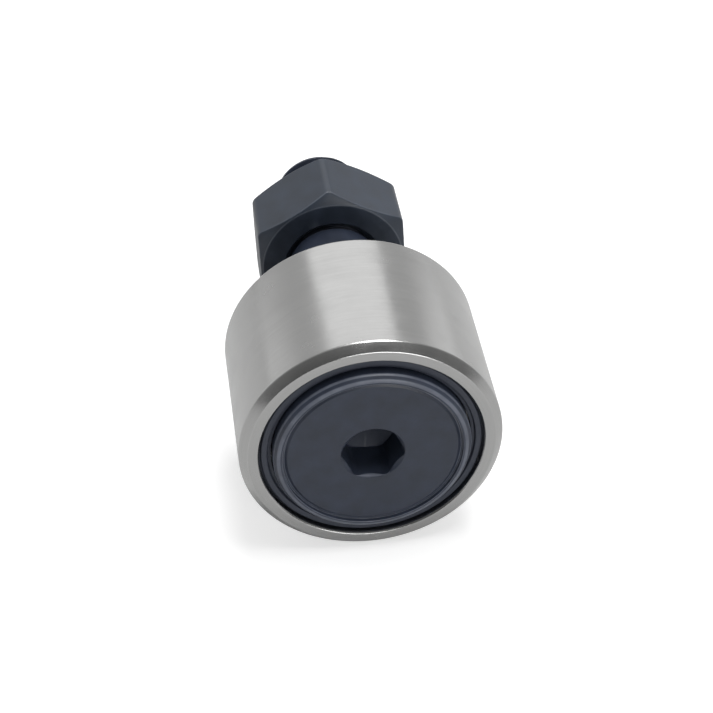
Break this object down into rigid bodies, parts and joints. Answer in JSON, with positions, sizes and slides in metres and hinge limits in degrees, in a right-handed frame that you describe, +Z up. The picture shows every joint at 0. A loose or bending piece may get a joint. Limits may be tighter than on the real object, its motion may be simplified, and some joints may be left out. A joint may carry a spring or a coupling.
{
  "type": "cam follower",
  "caption": "Stud-type needle track roller: a steel roller on a caged needle bearing, lip seals, a black stud with hexagon socket and threaded end, and its hexagon nut.",
  "frame": {"origin": "on the axis at the middle of the roller's tread", "axes": "+Y along the stud from its head to its threaded end, +Z up, +X across"},
  "size_m": [0.016, 0.0282, 0.016],
  "materials": {
    "ring_steel": "ground bearing steel, semi-bright",
    "black_steel": "black oxide, satin",
    "black_washer": "black oxide, satin",
    "nut_black": "black oxide, satin",
    "seal_rubber": "matt moulded rubber",
    "cage_steel": "pressed steel, dull",
    "needle_steel": "ground and polished"
  },
  "bodies": {
    "stud": {"stud": "black_steel", "thrust_washer": "black_washer"},
    "roller": {"outer_ring": "ring_steel", "front_seal": "seal_rubber", "rear_seal": "seal_rubber"},
    "cage": {"needle_cage": "cage_steel"},
    "needle_01": {"needle_01": "needle_steel"},
    "needle_02": {"needle_02": "needle_steel"},
    "needle_03": {"needle_03": "needle_steel"},
    "needle_04": {"needle_04": "needle_steel"},
    "needle_05": {"needle_05": "needle_steel"},
    "needle_06": {"needle_06": "needle_steel"},
    "needle_07": {"needle_07": "needle_steel"},
    "needle_08": {"needle_08": "needle_steel"},
    "needle_09": {"needle_09": "needle_steel"},
    "needle_10": {"needle_10": "needle_steel"},
    "needle_11": {"needle_11": "needle_steel"},
    "needle_12": {"needle_12": "needle_steel"},
    "needle_13": {"needle_13": "needle_steel"},
    "needle_14": {"needle_14": "needle_steel"},
    "nut": {"hex_nut": "nut_black"}
  },
  "joints": [
    {"name": "roller_spin", "type": "hinge", "parent": "stud", "child": "roller", "pos_m": [0, 0, 0], "axis": [0, 1, 0], "continuous": true},
    {"name": "cage_spin", "type": "hinge", "parent": "stud", "child": "cage", "pos_m": [0, 0, 0], "axis": [0, 1, 0], "continuous": true},
    {"name": "needle_01_spin", "type": "hinge", "parent": "cage", "child": "needle_01", "pos_m": [0.00476, 0, 0], "axis": [0, 1, 0], "continuous": true},
    {"name": "needle_02_spin", "type": "hinge", "parent": "cage", "child": "needle_02", "pos_m": [0.00429, 0, 0.00207], "axis": [0, 1, 0], "continuous": true},
    {"name": "needle_03_spin", "type": "hinge", "parent": "cage", "child": "needle_03", "pos_m": [0.00297, 0, 0.00372], "axis": [0, 1, 0], "continuous": true},
    {"name": "needle_04_spin", "type": "hinge", "parent": "cage", "child": "needle_04", "pos_m": [0.00106, 0, 0.00464], "axis": [0, 1, 0], "continuous": true},
    {"name": "needle_05_spin", "type": "hinge", "parent": "cage", "child": "needle_05", "pos_m": [-0.00106, 0, 0.00464], "axis": [0, 1, 0], "continuous": true},
    {"name": "needle_06_spin", "type": "hinge", "parent": "cage", "child": "needle_06", "pos_m": [-0.00297, 0, 0.00372], "axis": [0, 1, 0], "continuous": true},
    {"name": "needle_07_spin", "type": "hinge", "parent": "cage", "child": "needle_07", "pos_m": [-0.00429, 0, 0.00207], "axis": [0, 1, 0], "continuous": true},
    {"name": "needle_08_spin", "type": "hinge", "parent": "cage", "child": "needle_08", "pos_m": [-0.00476, 0, 0], "axis": [0, 1, 0], "continuous": true},
    {"name": "needle_09_spin", "type": "hinge", "parent": "cage", "child": "needle_09", "pos_m": [-0.00429, 0, -0.00207], "axis": [0, 1, 0], "continuous": true},
    {"name": "needle_10_spin", "type": "hinge", "parent": "cage", "child": "needle_10", "pos_m": [-0.00297, 0, -0.00372], "axis": [0, 1, 0], "continuous": true},
    {"name": "needle_11_spin", "type": "hinge", "parent": "cage", "child": "needle_11", "pos_m": [-0.00106, 0, -0.00464], "axis": [0, 1, 0], "continuous": true},
    {"name": "needle_12_spin", "type": "hinge", "parent": "cage", "child": "needle_12", "pos_m": [0.00106, 0, -0.00464], "axis": [0, 1, 0], "continuous": true},
    {"name": "needle_13_spin", "type": "hinge", "parent": "cage", "child": "needle_13", "pos_m": [0.00297, 0, -0.00372], "axis": [0, 1, 0], "continuous": true},
    {"name": "needle_14_spin", "type": "hinge", "parent": "cage", "child": "needle_14", "pos_m": [0.00429, 0, -0.00207], "axis": [0, 1, 0], "continuous": true},
    {"name": "nut_slide", "type": "slide", "parent": "stud", "child": "nut", "axis": [0, 1, 0], "range_m": [0, 0.012]}
  ],
  "couplings": [
    {"joint": "cage_spin", "follows": "roller_spin", "ratio": 0.57983},
    {"joint": "needle_01_spin", "follows": "roller_spin", "ratio": 3.1002},
    {"joint": "needle_02_spin", "follows": "roller_spin", "ratio": 3.1002},
    {"joint": "needle_03_spin", "follows": "roller_spin", "ratio": 3.1002},
    {"joint": "needle_04_spin", "follows": "roller_spin", "ratio": 3.1002},
    {"joint": "needle_05_spin", "follows": "roller_spin", "ratio": 3.1002},
    {"joint": "needle_06_spin", "follows": "roller_spin", "ratio": 3.1002},
    {"joint": "needle_07_spin", "follows": "roller_spin", "ratio": 3.1002},
    {"joint": "needle_08_spin", "follows": "roller_spin", "ratio": 3.1002},
    {"joint": "needle_09_spin", "follows": "roller_spin", "ratio": 3.1002},
    {"joint": "needle_10_spin", "follows": "roller_spin", "ratio": 3.1002},
    {"joint": "needle_11_spin", "follows": "roller_spin", "ratio": 3.1002},
    {"joint": "needle_12_spin", "follows": "roller_spin", "ratio": 3.1002},
    {"joint": "needle_13_spin", "follows": "roller_spin", "ratio": 3.1002},
    {"joint": "needle_14_spin", "follows": "roller_spin", "ratio": 3.1002}
  ]
}
